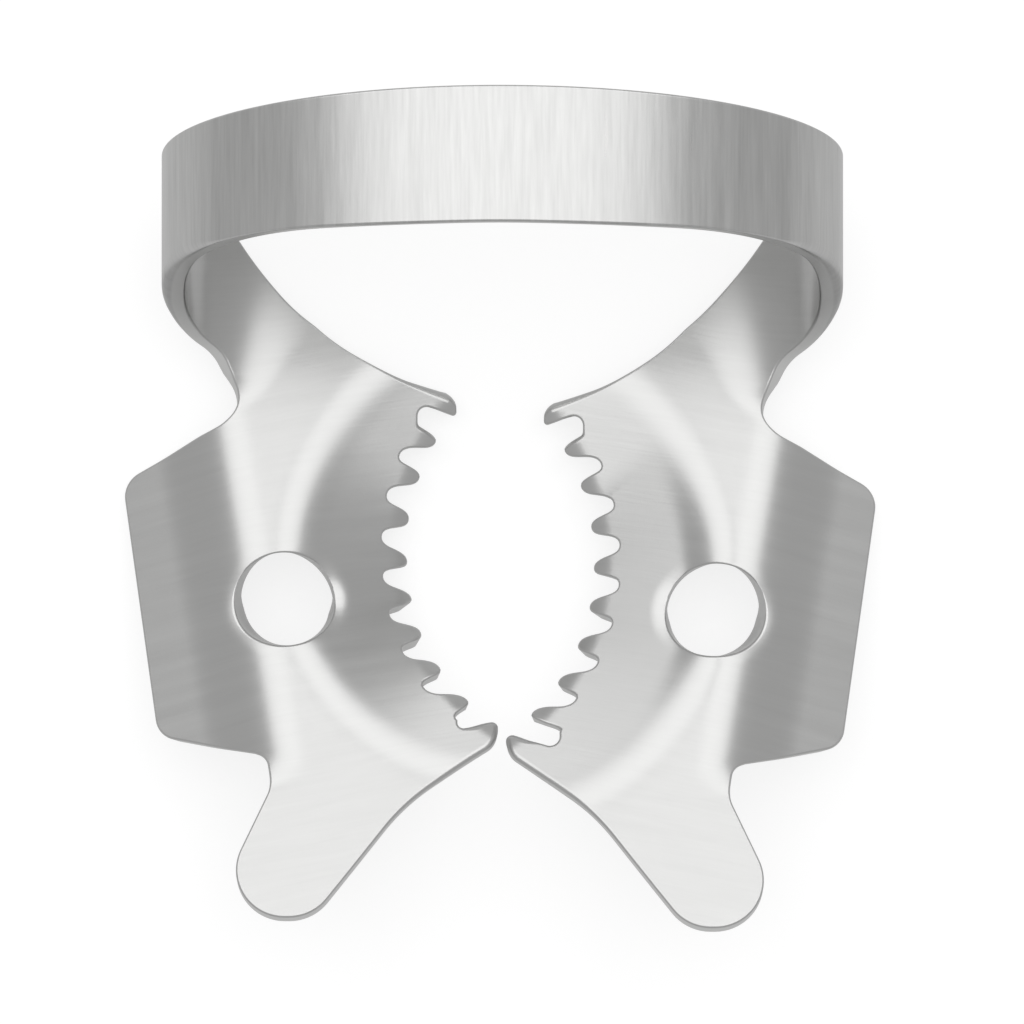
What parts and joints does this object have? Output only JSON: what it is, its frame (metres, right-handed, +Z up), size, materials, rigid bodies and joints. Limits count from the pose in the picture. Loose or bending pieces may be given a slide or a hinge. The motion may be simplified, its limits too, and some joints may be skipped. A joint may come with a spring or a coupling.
{
  "type": "rubber dam clamp",
  "caption": "Winged dental clamp of spring steel sheet: two serrated jaws with forceps holes, side wings and front lobes, joined by a high bow.",
  "frame": {"origin": "middle of the clamp's box, on the surface it lies on", "axes": "+X across the jaws, +Y from the jaws' points towards the bow, +Z up; the clamp lies as it comes to rest, jaws down, tilted back onto the foot of its bow"},
  "size_m": [0.0256, 0.0284, 0.0102],
  "materials": {
    "spring_steel": "satin, finely brushed"
  },
  "bodies": {
    "root": {"clamp": "spring_steel"}
  },
  "joints": []
}
